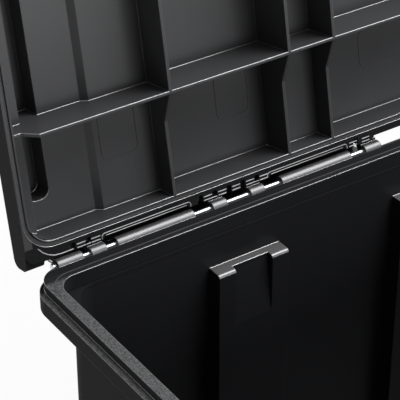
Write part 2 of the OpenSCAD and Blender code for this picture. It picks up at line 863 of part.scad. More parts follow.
module stack_latch_right() {
    inner = stack_x - stack_t / 2;
    outer = stack_x + stack_t / 2;
    low = hook_z - hook_t;
    color("#1b1c1e") difference() {
        union() {
            rod_y(-stack_w / 2, stack_w / 2, stack_x, stack_z, stack_pin_r + 2);
            along_y(-stack_w / 2, stack_w / 2)
                polygon([[inner, stack_z + stack_up], [outer, stack_z + stack_up],
                    [outer + stack_t / 2, stack_z + stack_up / 3], [outer, stack_z], [outer, low + 1],
                    [outer - 1, low], [inner - 1, low], [inner - hook, hook_z], [inner - hook, hook_z + hook_t],
                    [inner, hook_z + hook_t]]);
        }
        rod_y(-stack_w, stack_w, stack_x, stack_z, stack_pin_r + run_gap);
    }
}

module stack_latch_left() {
    mirror([1, 0, 0]) stack_latch_right();
}

module stack_latch_pin_right() {
    span = stack_w / 2 + part_gap + ear_t;
    color("#c9cacc") rod_y(-span, span, stack_x, stack_z, stack_pin_r);
}

module stack_latch_pin_left() {
    mirror([1, 0, 0]) stack_latch_pin_right();
}

tub();
hinge_rod_left();
hinge_rod_right();
lid();
lid_seal();
front_latch_left();
front_latch_right();
front_latch_pin_left();
front_latch_pin_right();
latch_strike_left();
latch_strike_right();
carry_handle();
carry_handle_grip();
carry_handle_pin_left();
carry_handle_pin_right();
side_handle_left();
side_handle_right();
side_handle_pins_left();
side_handle_pins_right();
stack_latch_left();
stack_latch_right();
stack_latch_pin_left();
stack_latch_pin_right();
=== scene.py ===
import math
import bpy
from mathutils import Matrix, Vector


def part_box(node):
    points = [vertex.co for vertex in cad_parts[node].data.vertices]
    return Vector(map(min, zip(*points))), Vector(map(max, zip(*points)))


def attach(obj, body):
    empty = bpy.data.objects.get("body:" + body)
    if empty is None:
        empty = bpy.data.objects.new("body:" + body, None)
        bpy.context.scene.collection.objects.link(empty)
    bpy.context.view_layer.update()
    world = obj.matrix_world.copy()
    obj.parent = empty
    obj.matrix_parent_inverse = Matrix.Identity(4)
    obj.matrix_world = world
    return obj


bl_info = {
    "name": "Stackable tool box",
    "version": (1, 0, 0),
    "blender": (4, 5, 0),
    "location": "3D View > Sidebar > Tool box",
    "description": "Finishes, trim and studio for a stackable tool box with its lid standing open",
    "category": "Object",
}

import bmesh
import bpy
from bpy.props import FloatProperty, FloatVectorProperty, PointerProperty
from mathutils import Matrix, Vector

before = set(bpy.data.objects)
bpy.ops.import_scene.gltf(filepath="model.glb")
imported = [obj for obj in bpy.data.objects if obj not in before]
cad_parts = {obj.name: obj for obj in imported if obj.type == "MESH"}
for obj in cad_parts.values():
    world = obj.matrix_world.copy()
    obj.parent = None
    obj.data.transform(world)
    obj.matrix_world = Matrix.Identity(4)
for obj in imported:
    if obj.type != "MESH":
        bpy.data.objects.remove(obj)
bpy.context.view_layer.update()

MM = 0.001
SIDES = (("left", -1), ("right", 1))

# Sizes of the construction, in metres
HINGE_Y, HINGE_Z = 0.189, 0.2705
BARREL_R = 0.0041
ROD_R = 0.00175
ROD_END_X = 0.263
RIM_Z = 0.272
STEP_Z = 0.2615
LEDGE_Z = 0.240
LID_RIM = 0.0019
LID_TILT = math.radians(11)

# Where one finish of the tub or the lid ends and the next begins, and where painted shade, light and
# highlights end, in metres
GRAIN_DEPTH = 0.0065
LEDGE_ROUND = 0.0028
HINGE_STRIP_Y = 0.1745
LIP_Y = 0.1797
TUB_SIDE_X, LID_SIDE_X = 0.25, 0.275
MOUTH_X = 0.265
RIM_FACE_REACH = 0.0144
CORNER_X, CORNER_END_X, CORNER_REACH = 0.263, 0.2725, 0.026

# The open lid's own frame: x along the hinge, y away from its axis, z out of the lid's inside
LID_PLACE = (Matrix.Translation((0, HINGE_Y, HINGE_Z))
             @ Matrix.Rotation(math.radians(90) - LID_TILT, 4, "X"))
# The same with the lid's edge as ground, in millimetres, so that z = 0 is the face of the lid's rim
RIM_PLACE = LID_PLACE @ Matrix.Translation((0, 0, -LID_RIM)) @ Matrix.Scale(MM, 4)

# Pins of the moving parts, in metres
LATCH_X, LATCH_Y, LATCH_Z = 0.150, -0.1939, 0.2435
SIDE_X, SIDE_Z, SIDE_BAR_Z = 0.278, 0.2335, 0.1945
STACK_X, STACK_Z = 0.2799, 0.034
CARRY_Y, CARRY_Z = 0.247454, 0.467975
CARRY_BAR_DROP = 0.046

# How far below its own face a bead starts, so that it grows out of the moulding, in millimetres
ROOT = 0.3


class Value:
    """A number in a shader. Arithmetic on it adds Math nodes."""

    def __init__(self, paint, socket):
        self.paint, self.socket = paint, socket

    def math(self, operation, *others):
        values = dict(enumerate((self,) + others))
        return self.paint.node("ShaderNodeMath", {"operation": operation}, values)

    def __add__(self, other):
        return self.math("ADD", other)

    __radd__ = __add__

    def __mul__(self, other):
        return self.math("MULTIPLY", other)

    __rmul__ = __mul__

    def __sub__(self, other):
        return self.math("SUBTRACT", other)

    def __rsub__(self, other):
        return self.paint.node("ShaderNodeMath", {"operation": "SUBTRACT"}, {0: other, 1: self})

    def __abs__(self):
        return self.math("ABSOLUTE")

    def either(self, other):
        """The larger of two masks."""
        return self.math("MAXIMUM", other)

    def above(self, edge, soft=0.0002):
        """1 where the value is above an edge, with a soft step."""
        return self.paint.node("ShaderNodeMapRange", {"interpolation_type": "SMOOTHSTEP"},
                               {"Value": self, "From Min": edge - soft, "From Max": edge + soft})

    def below(self, edge, soft=0.0002):
        return 1.0 - self.above(edge, soft)

    def between(self, low, high, soft=0.0002):
        return self.above(low, soft) * self.below(high, soft)


class Paint:
    """One material, built from nodes."""

    def __init__(self, name):
        self.material = bpy.data.materials.new(name)
        self.material.use_nodes = True
        self.tree = self.material.node_tree
        self.shader = self.tree.nodes["Principled BSDF"]
        self.place = self.node("ShaderNodeTexCoord", out="Object")
        self.x, self.y, self.z = self.parts(self.place)

    def node(self, kind, settings=None, inputs=None, out=0):
        """Adds a node: its settings first, then its inputs, as values or links. Returns one output."""
        new = self.tree.nodes.new(kind)
        for key, value in (settings or {}).items():
            setattr(new, key, value)
        for key, value in (inputs or {}).items():
            self.feed(new.inputs[key], value)
        return Value(self, new.outputs[out])

    def feed(self, socket, value):
        if isinstance(value, Value):
            self.tree.links.new(value.socket, socket)
        else:
            socket.default_value = value

    def parts(self, vector):
        """The three numbers of a vector."""
        first = self.node("ShaderNodeSeparateXYZ", {}, {"Vector": vector})
        return [Value(self, output) for output in first.socket.node.outputs]

    def direction(self):
        """The way the surface faces."""
        return self.node("ShaderNodeNewGeometry", out="Normal")

    def noise(self, scale, detail=3.0, roughness=0.5, place=None):
        return self.node("ShaderNodeTexNoise", {},
                         {"Vector": place or self.place, "Scale": scale, "Detail": detail,
                          "Roughness": roughness})

    def stretched(self, x, y, z):
        """The place, scaled apart along the axes, for grain that runs one way."""
        return self.node("ShaderNodeMapping", {}, {"Vector": self.place, "Scale": (x, y, z)})

    def mix(self, factor, one, two):
        """Mixes two colours."""
        new = self.tree.nodes.new("ShaderNodeMix")
        new.data_type = "RGBA"
        for index, value in ((0, factor), (6, one), (7, two)):
            if not isinstance(value, (Value, float)):
                value = (*value[:3], 1.0)
            self.feed(new.inputs[index], value)
        return Value(self, new.outputs[2])

    def varied(self, factor, colour, dark, light):
        """A colour that goes from a darker to a lighter shade of itself."""
        return self.mix(factor, [c * dark for c in colour], [min(1, c * light) for c in colour])

    def bump(self, height, distance, below=None):
        inputs = {"Height": height, "Distance": distance, "Strength": 1.0}
        if below is not None:
            inputs["Normal"] = below
        return self.node("ShaderNodeBump", {}, inputs)

    def round_edges(self, radius):
        return self.node("ShaderNodeBevel", {"samples": 8}, {"Radius": radius})

    def painted_edge_highlight(self, rounded):
        """1 along the upper edges, where a highlight is painted."""
        same = self.node("ShaderNodeVectorMath", {"operation": "DOT_PRODUCT"},
                         {0: rounded, 1: self.direction()}, out="Value")
        turned = same.below(0.93, soft=0.04)   # 0.93 is the cosine of 22 degrees
        return turned * self.parts(rounded)[2].above(0.3, soft=0.25)

    def finish(self, **sockets):
        for name, value in sockets.items():
            self.feed(self.shader.inputs[name.replace("_", " ")], value)
        return self.material

    def cover(self, mask, shader):
        """Lays a second shader over the first one where a mask is 1."""
        both = self.tree.nodes.new("ShaderNodeMixShader")
        self.feed(both.inputs[0], mask)
        self.tree.links.new(self.shader.outputs[0], both.inputs[1])
        self.tree.links.new(shader.outputs[0], both.inputs[2])
        self.tree.links.new(both.outputs[0], self.tree.nodes["Material Output"].inputs["Surface"])

    def matt_where(self, mask, **sockets):
        """Lays a matt shader over the first one where a mask is 1."""
        matt = self.tree.nodes.new("ShaderNodeBsdfPrincipled")
        for name, value in sockets.items():
            self.feed(matt.inputs[name.replace("_", " ")], value)
        self.cover(mask, matt)


class ToolBoxSizes(bpy.types.PropertyGroup):
    edge: FloatProperty(name="Edge rounding", description="Radius of the moulded edges", default=0.0008,
                        unit="LENGTH", precision=4)
    pad: FloatProperty(name="Mould line height", description="Height of the fine outlines inside the lid",
                       default=0.0004, unit="LENGTH", precision=4)
    rung: FloatProperty(name="Rung height", description="Height of the fine ribs beside the hinge",
                        default=0.0003, unit="LENGTH", precision=4)
    ridge: FloatProperty(name="Ridge height", description="Height of the grip ridges on the latches",
                         default=0.0006, unit="LENGTH", precision=4)
    gloss: FloatProperty(name="Gloss", description="Specular level of the moulded plastic", default=0.25,
                         min=0, max=1)


class ToolBoxColours(bpy.types.PropertyGroup):
    tub: FloatVectorProperty(name="Tub", description="Colour of the tub's plastic",
                             subtype="COLOR", default=(0.0175, 0.018, 0.0198), min=0, max=1)
    lid: FloatVectorProperty(name="Lid", description="Colour of the lid's plastic",
                             subtype="COLOR", default=(0.060, 0.061, 0.064), min=0, max=1)
    grained: FloatVectorProperty(name="Grained rim", description="Colour of the grained rim",
                                 subtype="COLOR", default=(0.084, 0.085, 0.087), min=0, max=1)
    latch: FloatVectorProperty(name="Latches", description="Colour of latches and handles",
                               subtype="COLOR", default=(0.026, 0.027, 0.029), min=0, max=1)
    # Painted highlight: the colour of the upper edges, which stands in for the light they catch.
    painted_edge_highlight: FloatVectorProperty(name="Edge highlights", description="Colour of the highlight painted on upper edges",
                                   subtype="COLOR", default=(0.42, 0.42, 0.43), min=0, max=1)
    # Painted highlight: the colour of the barrels' upper halves and the ledges' front edges.
    barrel_highlight: FloatVectorProperty(name="Barrel highlights", description="Colour of the highlight painted on the hinge's barrels",
                                  subtype="COLOR", default=(0.15, 0.15, 0.154), min=0, max=1)
    # Painted shade: the darker colour of the matt places.
    matt_shade: FloatVectorProperty(name="Matt shaded places", description="Colour of the matt places, painted darker as shade",
                                 subtype="COLOR", default=(0.0125, 0.0128, 0.0138), min=0, max=1)
    # Painted light: the lighter colour of the ledge tops.
    ledge_light: FloatVectorProperty(name="Lit ledge tops", description="Colour of the ledge tops, painted lighter as light",
                                 subtype="COLOR", default=(0.11, 0.11, 0.112), min=0, max=1)
    seal: FloatVectorProperty(name="Seal", description="Colour of the lid's seal",
                              subtype="COLOR", default=(0.016, 0.016, 0.017), min=0, max=1)
    grip: FloatVectorProperty(name="Grip", description="Colour of the carry handle's grip",
                              subtype="COLOR", default=(0.03, 0.03, 0.032), min=0, max=1)
    steel: FloatVectorProperty(name="Steel", description="Colour of the rods and pins",
                               subtype="COLOR", default=(0.66, 0.67, 0.69), min=0, max=1)


def colours():
    return bpy.context.scene.tool_box_colours


def sizes():
    return bpy.context.scene.tool_box_sizes


def finish_of(name, maker, *values):
    """The finish of that name, made on its first use."""
    return bpy.data.materials.get(name) or maker(name, *values)


def paint_node(name, material):
    """Gives a node of the construction its finish."""
    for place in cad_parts[name].material_slots:
        place.material = material


def plastic(name, colour, grained=None, matt=None, ledges=None, roughness=0.3):
    """Moulded plastic with a fine skin, painted highlights on upper edges and barrels, painted light on
    ledges, painted shade on matt places, and masks for other finishes.
    """
    clouds, pores, specks = 22, 2600, 900   # how fine each pattern is
    uneven = 0.08                           # how much the roughness changes over a surface
    rim_highlight_cut = 0.6                        # how much weaker the rim's painted edge highlights are away from the hinge
    metal = 0.85                            # the painted highlights mirror the surroundings much as metal does

    paint = Paint(name)
    cloud = paint.noise(clouds)
    rounded = paint.round_edges(sizes().edge)
    # A highlight is painted along the upper edges: they take a light metallic colour.
    edge_highlight_mask = paint.painted_edge_highlight(rounded)
    base = paint.varied(cloud, colour, 0.88, 1.12)
    skin = cloud * uneven + (roughness - uneven / 2)
    height = paint.noise(pores, 2) * 0.06
    if grained:
        mask = grained(paint)
        grain = paint.noise(specks, 2, 0.6)
        speckled = paint.varied(grain.above(0.5, soft=0.16), colours().grained, 0.55, 1.5)
        base = paint.mix(mask, base, speckled)
        skin = skin + mask * 0.2
        height = height + grain * mask
        # Away from the hinge, the rim's painted edge highlights are made weaker.
        away = paint.y.below(HINGE_STRIP_Y, soft=0.002) * paint.z.above(LEDGE_Z + 0.005, soft=0.001)
        edge_highlight_mask = edge_highlight_mask * (1.0 - away * rim_highlight_cut)
    if matt:
        matt_shade_mask = matt(paint, rounded, edge_highlight_mask)
        edge_highlight_mask = edge_highlight_mask * (1.0 - matt_shade_mask)
    # The upper half of the barrels gets a painted highlight.
    barrel_and_ledge_highlight = barrels(paint)
    skin = skin + barrel_and_ledge_highlight * 0.1
    # The ledge tops are painted lighter as light, and their front edges get a painted highlight.
    if ledges:
        base = paint.mix(ledges(paint), base, colours().ledge_light)
        barrel_and_ledge_highlight = barrel_and_ledge_highlight.either(ledge_edge_highlight(paint))
    normal = paint.bump(height, 0.0003, rounded)
    # Where the matt mask is 1, a matt shader with a darker colour paints shade.
    if matt:
        paint.matt_where(matt_shade_mask, Base_Color=paint.varied(cloud, colours().matt_shade, 0.85, 1.15),
                         Roughness=0.8, Normal=normal, Specular_IOR_Level=0.08)
    # The painted highlights: light grey and metallic on upper edges, barrel tops and ledge edges.
    base = paint.mix(barrel_and_ledge_highlight, paint.mix(edge_highlight_mask, base, colours().painted_edge_highlight), colours().barrel_highlight)
    return paint.finish(Base_Color=base, Metallic=edge_highlight_mask.either(barrel_and_ledge_highlight) * metal, Roughness=skin,
                        Normal=normal, Specular_IOR_Level=sizes().gloss)


def barrels(paint):
    """1 on the upper half of the hinge's round barrels, where a highlight is painted."""
    y, z = paint.y - HINGE_Y, paint.z - HINGE_Z
    near = (y * y + z * z).below((BARREL_R * 1.04) ** 2, soft=BARREL_R ** 2 * 0.02)
    return near * paint.parts(paint.direction())[2].above(0.45, soft=0.25)


def tub_grain(paint):
    """The grained top of the rim, all round but at the hinge."""
    up = paint.parts(paint.direction())[2]
    return (paint.z.above(RIM_Z - GRAIN_DEPTH, soft=0.0003) * up.above(0.6, soft=0.1)
            * paint.y.below(HINGE_STRIP_Y, soft=0.002))


def ledge_level(paint):
    """The height of the pillars' ledges, with their round edges."""
    return paint.z.above(LEDGE_Z - LEDGE_ROUND, soft=0.0003) * paint.z.below(LEDGE_Z + 0.0004)


def tub_lit_ledges(paint):
    """The tops of the pillars, which are painted lighter as light."""
    return paint.parts(paint.direction())[2].above(0.8, soft=0.1) * ledge_level(paint)


def ledge_edge_highlight(paint):
    """The round front edges of the pillars' ledges, where a highlight is painted."""
    up = paint.parts(paint.direction())[2]
    return up.above(0.3, soft=0.2) * up.below(0.93, soft=0.04) * ledge_level(paint)


def outer_sides(paint, rounded, beyond):
    """Faces that look away from the middle of the box, beyond a distance from it."""
    outward = paint.parts(rounded)[0] * paint.x
    return outward.above(0.2, soft=0.03) * abs(paint.x).above(beyond, soft=0.001)


def tub_matt_shade(paint, rounded, edge_highlight_mask):
    """The matt sides outside, the step in the walls below the mouth, and the strip behind the lip, all
    painted darker as shade.
    """
    # The step in the walls below the mouth is painted dark, as shade.
    step = (paint.z.between(STEP_Z - 0.003, STEP_Z + 0.0015, soft=0.0004)
            * abs(paint.x).below(MOUTH_X, soft=0.0004))
    # The strip behind the lip, under the barrels, is painted dark, as shade.
    strip = paint.y.between(LIP_Y, HINGE_Y - BARREL_R) * paint.z.above(RIM_Z - 0.0008, soft=0.0004)
    # The outer sides are matt, and painted darker as shade.
    return outer_sides(paint, rounded, TUB_SIDE_X).either(step).either(strip * (1.0 - edge_highlight_mask))


def lid_matt_shade(paint, rounded, edge_highlight_mask):
    """The lid's matt sides, and the face of its rim beside the hinge and at its corners, all painted
    darker as shade.
    """
    lean, rise = math.sin(LID_TILT), math.cos(LID_TILT)
    y, z = paint.y - HINGE_Y, paint.z - HINGE_Z
    reach = y * lean + z * rise
    depth = y * rise - z * lean
    # The rim face at the corners is painted dark, as the shade of a recess.
    corner = (abs(paint.x).between(CORNER_X, CORNER_END_X, soft=0.0004)
              * reach.below(CORNER_REACH, soft=0.003))
    # The face of the rim beside the hinge is painted dark, as shade.
    face = depth.below(LID_RIM + 0.0035, soft=0.0004) * depth.above(LID_RIM - 0.0009)
    rim = face * reach.below(RIM_FACE_REACH).either(corner)
    # The outer sides are matt, and painted darker as shade.
    return outer_sides(paint, rounded, LID_SIDE_X).either(rim * (1.0 - edge_highlight_mask))


def rib_plastic(name):
    """The plastic of fine ribs and beads, light grey and metallic as a painted highlight."""
    paint = Paint(name)
    rub = paint.noise(400)
    return paint.finish(Base_Color=paint.varied(rub, colours().painted_edge_highlight, 0.75, 1.2), Metallic=0.6,
                        Roughness=rub * 0.2 + 0.3, Normal=paint.bump(rub, 0.00005))


def latch_plastic(name):
    return plastic(name, colours().latch)


def drawn_steel(name):
    """Bright steel wire with the fine streaks of drawing along x."""
    paint = Paint(name)
    streak = paint.noise(900, place=paint.stretched(0.03, 1, 1))
    return paint.finish(Base_Color=paint.varied(streak, colours().steel, 0.8, 1.15), Metallic=1.0,
                        Roughness=streak * 0.16 + 0.2, Normal=paint.bump(streak, 0.00005))


def rubber(name, colour):
    paint = Paint(name)
    fine = paint.noise(1800)
    return paint.finish(Base_Color=paint.varied(paint.noise(40), colour, 0.85, 1.15),
                        Roughness=fine * 0.15 + 0.62, Normal=paint.bump(fine, 0.0002),
                        Specular_IOR_Level=0.2)


def soften(shape, edges, offset, segments=2):
    """Rounds some edges."""
    bmesh.ops.bevel(shape, geom=edges, offset=offset, offset_type="OFFSET", segments=segments,
                    profile=0.5, affect="EDGES", clamp_overlap=True, material=-1)


def block(shape, low, high, rounding):
    """Adds a block between two corners, with all its edges rounded."""
    low, high = Vector(low), Vector(high)
    place = Matrix.Translation((low + high) / 2) @ Matrix.Diagonal((*(high - low), 1))
    verts = bmesh.ops.create_cube(shape, size=1.0, matrix=place)["verts"]
    soften(shape, list({edge for vert in verts for edge in vert.link_edges}), rounding)


def disc(shape, middle, axis, radius, depth, rounding, sides=24, segments=3):
    """Adds a round disc or bar about an axis, with softened rims."""
    turn = Vector(axis).to_track_quat("Z", "Y").to_matrix().to_4x4()
    verts = bmesh.ops.create_cone(shape, cap_ends=True, segments=sides, radius1=radius, radius2=radius,
                                  depth=depth, matrix=Matrix.Translation(middle) @ turn)["verts"]
    caps = {face for vert in verts for face in vert.link_faces if len(face.verts) > 4}
    soften(shape, list({edge for face in caps for edge in face.edges}), rounding, segments)


def bead(shape, low, high, corner, width, floor, top):
    """Adds a closed bead that follows a rectangle with round corners."""
    middle = ((low[0] + high[0]) / 2, (low[1] + high[1]) / 2, floor)
    half = ((high[0] - low[0]) / 2, (high[1] - low[1]) / 2, 1, 1)
    verts = bmesh.ops.create_grid(shape, x_segments=1, y_segments=1, size=1.0,
                                  matrix=Matrix.Translation(middle) @ Matrix.Diagonal(half))["verts"]
    made = bmesh.ops.bevel(shape, geom=verts, offset=corner, offset_type="OFFSET", segments=6,
                           profile=0.5, affect="VERTICES", clamp_overlap=True, material=-1)
    faces = {face for vert in made["verts"] for face in vert.link_faces}
    middle_face = max(faces, key=lambda face: face.calc_area())
    strip = bmesh.ops.inset_region(shape, faces=[middle_face], thickness=width, depth=0,
                                   use_boundary=True, use_even_offset=True)["faces"]
    bmesh.ops.delete(shape, geom=[middle_face], context="FACES")
    raised = bmesh.ops.extrude_face_region(shape, geom=strip)["geom"]
    points = [part for part in raised if isinstance(part, bmesh.types.BMVert)]
    bmesh.ops.translate(shape, verts=points, vec=(0, 0, top - floor))
    cap = {part for part in raised if isinstance(part, bmesh.types.BMFace)}
    rims = [edge for edge in {edge for face in cap for edge in face.edges}
            if sum(face in cap for face in edge.link_faces) == 1]
    soften(shape, rims, min(width, top - floor) * 0.45)


def cut(shape, *planes):
    """Cuts off what lies beyond each plane, and closes the cut ends."""
    for place, away in planes:
        bmesh.ops.bisect_plane(shape, geom=shape.verts[:] + shape.edges[:] + shape.faces[:], dist=1e-5,
                               plane_co=place, plane_no=away, clear_outer=True)
    bmesh.ops.holes_fill(shape, edges=[edge for edge in shape.edges if edge.is_boundary], sides=0)


def mirrored(shape):
    """Adds the mirror image of a shape across the middle of the box."""
    geom = shape.verts[:] + shape.edges[:] + shape.faces[:]
    copied = bmesh.ops.duplicate(shape, geom=geom)["geom"]
    verts = [part for part in copied if isinstance(part, bmesh.types.BMVert)]
    bmesh.ops.scale(shape, verts=verts, vec=(-1, 1, 1))


def piece(name, shape, body, material, place=None):
    """Makes a shape one piece of the box, riding on a body."""
    if place is not None:
        bmesh.ops.transform(shape, matrix=place, verts=shape.verts)
    bmesh.ops.recalc_face_normals(shape, faces=shape.faces)
    mesh = bpy.data.meshes.new(name)
    shape.to_mesh(mesh)
    shape.free()
    mesh.materials.append(material)
    mesh.shade_smooth()
    mesh.set_sharp_from_angle(angle=math.radians(40))
    made = bpy.data.objects.new(name, mesh)
    bpy.context.scene.collection.objects.link(made)
    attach(made, body)


class TOOLBOX_OT_finish_mouldings(bpy.types.Operator):
    """Gives the tub, the lid, the latches and the handles their moulded plastic"""
    bl_idname = "toolbox.finish_mouldings"
    bl_label = "Finish the mouldings"

    MOVING = ("carry_handle", "front_latch_left", "front_latch_right", "side_handle_left",
              "side_handle_right", "stack_latch_left", "stack_latch_right")

    def execute(self, context):
        paint_node("tub", plastic("tub_plastic", colours().tub, tub_grain, tub_matt_shade, tub_lit_ledges))
        paint_node("lid", plastic("lid_plastic", colours().lid, matt=lid_matt_shade))
        for name in self.MOVING:
            paint_node(name, finish_of("latch_plastic", latch_plastic))
        return {"FINISHED"}


class TOOLBOX_OT_finish_metal_and_rubber(bpy.types.Operator):
    """Gives the rods, pins and strikes their steel, and the seal and the grip their rubber"""
    bl_idname = "toolbox.finish_metal_and_rubber"
    bl_label = "Finish the metal and the rubber"

    def execute(self, context):
        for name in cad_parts:
            if any(word in name for word in ("rod", "pin", "strike")):
                paint_node(name, finish_of("drawn_steel", drawn_steel))
        paint_node("lid_seal", finish_of("seal_rubber", rubber, colours().seal))
        paint_node("carry_handle_grip", finish_of("grip_rubber", rubber, colours().grip))
        return {"FINISHED"}


class TOOLBOX_OT_lid_pads(bpy.types.Operator):
    """Adds the fine raised outlines that the mould leaves on the lid's inner face"""
    bl_idname = "toolbox.lid_pads"
    bl_label = "Add the lid's mould lines"

    # Each outline, in millimetres from the hinge axis: x range, reach range, depth of its ground
    OUTLINES = ((-214, -189, 44, 79, 14.3), (-129, -105, 41, 76, 22), (189, 214, 44, 79, 14.3),
                (105, 129, 41, 76, 22), (-21, 21, 44, 69, 20))
    CORNER, WIDTH = 5, 0.8

    def execute(self, context):
        shape = bmesh.new()
        up = sizes().pad / MM
        for x0, x1, near, far, depth in self.OUTLINES:
            bead(shape, (x0, near), (x1, far), self.CORNER, self.WIDTH, -depth - ROOT, up - depth)
        piece("lid_pads", shape, "lid", bpy.data.materials["lid_plastic"], RIM_PLACE)
        return {"FINISHED"}


class TOOLBOX_OT_hinge_trim(bpy.types.Operator):
    """Adds the fine ribs and beads beside the hinge, and the rounded ends of the rods"""
    bl_idname = "toolbox.hinge_trim"
    bl_label = "Add the hinge's trim"

    # In millimetres along the hinge: middles of the teeth between the pockets, and the long slots
    TEETH = (-242.2, -232.6, -155, -144.7, -134.6, -124.4, -114.4, -45.6, -35.6)
    SLOTS = ((-227.5, -168.5), (-110.5, -51.5))
    # In millimetres away from the hinge axis: the two rungs of each tooth, the bead round a slot,
    # where a slot's bead ends, and the fine bar in the slot
    RUNGS = (7.7, 5.5)
    SLOT_BEAD = (3.4, 8.5)
    SLOT_END = 5.1
    SLOT_BAR = (6.1, 6.8)
    # The bead round the lid's corners: half its width, its reach, its corner, and where it is cut
    CORNER_BEAD = (272, 5.3, 16)
    CORNER_CUTS = (((0, 13.4, 0), (0, 1, 0)), ((-247.5, 0, 0), (1, 0, 0)))
    # In metres: the radius, thickness and rounding of the rods' heads
    ROD_HEAD = (ROD_R + 0.0006, 0.0014, 0.0005)

    def execute(self, context):
        # The ribs and beads take a light metallic colour as a painted highlight.
        ribs = finish_of("rib_plastic", rib_plastic)
        up = sizes().rung / MM
        self.rungs(ribs, up)
        self.corners(ribs, up)
        self.slots(ribs, up)
        shape = bmesh.new()
        disc(shape, (ROD_END_X, HINGE_Y, HINGE_Z), (1, 0, 0), *self.ROD_HEAD)
        mirrored(shape)
        piece("rod_heads", shape, "tub", finish_of("drawn_steel", drawn_steel))
        return {"FINISHED"}

    def rungs(self, ribs, up):
        shape = bmesh.new()
        half, radius = 3, 0.4
        for x in self.TEETH:
            for reach in self.RUNGS:
                disc(shape, (x, reach, up - radius), (1, 0, 0), radius, half * 2, radius / 2, 8, 2)
        mirrored(shape)
        piece("hinge_rungs", shape, "lid", ribs, RIM_PLACE)

    def corners(self, ribs, up):
        shape = bmesh.new()
        half, reach, corner = self.CORNER_BEAD
        far, width = 60, 0.7   # the far side of the bead is cut away again
        bead(shape, (-half, reach), (half, far), corner, width, -ROOT, up)
        cut(shape, *self.CORNER_CUTS)
        mirrored(shape)
        piece("corner_beads", shape, "lid", ribs, RIM_PLACE)

    def slots(self, ribs, up):
        shape = bmesh.new()
        near, far = self.SLOT_BEAD
        beyond, corner, width = 1.4, 2.4, 0.6
        for x0, x1 in self.SLOTS:
            bead(shape, (x0 - beyond, near), (x1 + beyond, far), corner, width, -ROOT, up)
        cut(shape, ((0, self.SLOT_END, 0), (0, -1, 0)))
        near, far = self.SLOT_BAR
        inset, floor, top = 1, -1.2, -0.2
        for x0, x1 in self.SLOTS:
            block(shape, (x0 + inset, near, floor), (x1 - inset, far, top), ROOT)
        mirrored(shape)
        piece("slot_beads", shape, "lid", ribs, RIM_PLACE)


class TOOLBOX_OT_rim_bead(bpy.types.Operator):
    """Adds the fine bead on the tub's rim, behind its mouth"""
    bl_idname = "toolbox.rim_bead"
    bl_label = "Add the rim's bead"

    # In millimetres: half the bead's width, its front and back, its corner, and where it ends
    HALF, FRONT, BACK, CORNER, END = 274.5, -182, 179, 15, 160

    def execute(self, context):
        top = RIM_Z / MM
        shape = bmesh.new()
        bead(shape, (-self.HALF, self.FRONT), (self.HALF, self.BACK), self.CORNER, 0.7, top - ROOT,
             top + sizes().rung / MM)
        cut(shape, ((0, self.END, 0), (0, -1, 0)))
        piece("rim_bead", shape, "tub", bpy.data.materials["tub_plastic"],
              Matrix.Scale(MM, 4))
        return {"FINISHED"}


class TOOLBOX_OT_latch_grips(bpy.types.Operator):
    """Adds the grip ridges and stiffening ribs of the front latches and the stacking latches"""
    bl_idname = "toolbox.latch_grips"
    bl_label = "Add the latches' grips"

    # In millimetres from each latch's pin: half the ridges' length, the first ridge, their number
    FRONT_RIDGES = (21, -46.5, 6)
    STACK_RIDGES = (22, 18, 4)
    STEP, WIDTH = 4, 1.8
    # The ribs on the front latch's inner side: their places across, and how deep they reach
    RIBS = (-20, -7, 7, 20)
    RIB_DEPTH = (-3.1, -1.7)

    def execute(self, context):
        plain = finish_of("latch_plastic", latch_plastic)
        for side, sign in SIDES:
            place = Matrix.Translation((sign * LATCH_X, LATCH_Y, LATCH_Z)) @ Matrix.Scale(MM, 4)
            piece("front_latch_grip_" + side, self.front_grip(), "front_latch_" + side, plain,
                  place)
            place = (Matrix.Translation((sign * STACK_X, 0, STACK_Z))
                     @ Matrix.Diagonal((sign * MM, MM, MM, 1)))
            piece("stack_latch_grip_" + side, self.stack_grip(), "stack_latch_" + side, plain,
                  place)
        return {"FINISHED"}

    def front_grip(self):
        """Ridges on the outer face of a front latch, and ribs on its inner face."""
        shape = bmesh.new()
        half, first, number = self.FRONT_RIDGES
        root, face = 1.7, 2
        for step in range(number):
            low = first + step * self.STEP
            block(shape, (-half, root, low), (half, face + sizes().ridge / MM, low + self.WIDTH), 0.3)
        deep, shallow = self.RIB_DEPTH
        half_rib, foot, top = 0.8, -42, -8
        for x in self.RIBS:
            block(shape, (x - half_rib, deep, foot), (x + half_rib, shallow, top), 0.4)
        block(shape, (-half, deep, -9.4), (half, shallow, -7.8), 0.4)
        return shape

    def stack_grip(self):
        """Ridges on the outer face of a stacking latch, each a little lower than the last."""
        shape = bmesh.new()
        half, first, number = self.STACK_RIDGES
        root, top, fall = 1.6, 3.4, 0.3
        for step in range(number):
            low = first + step * self.STEP
            block(shape, (root, -half, low), (top - step * fall, half, low + self.WIDTH), 0.3)
        return shape


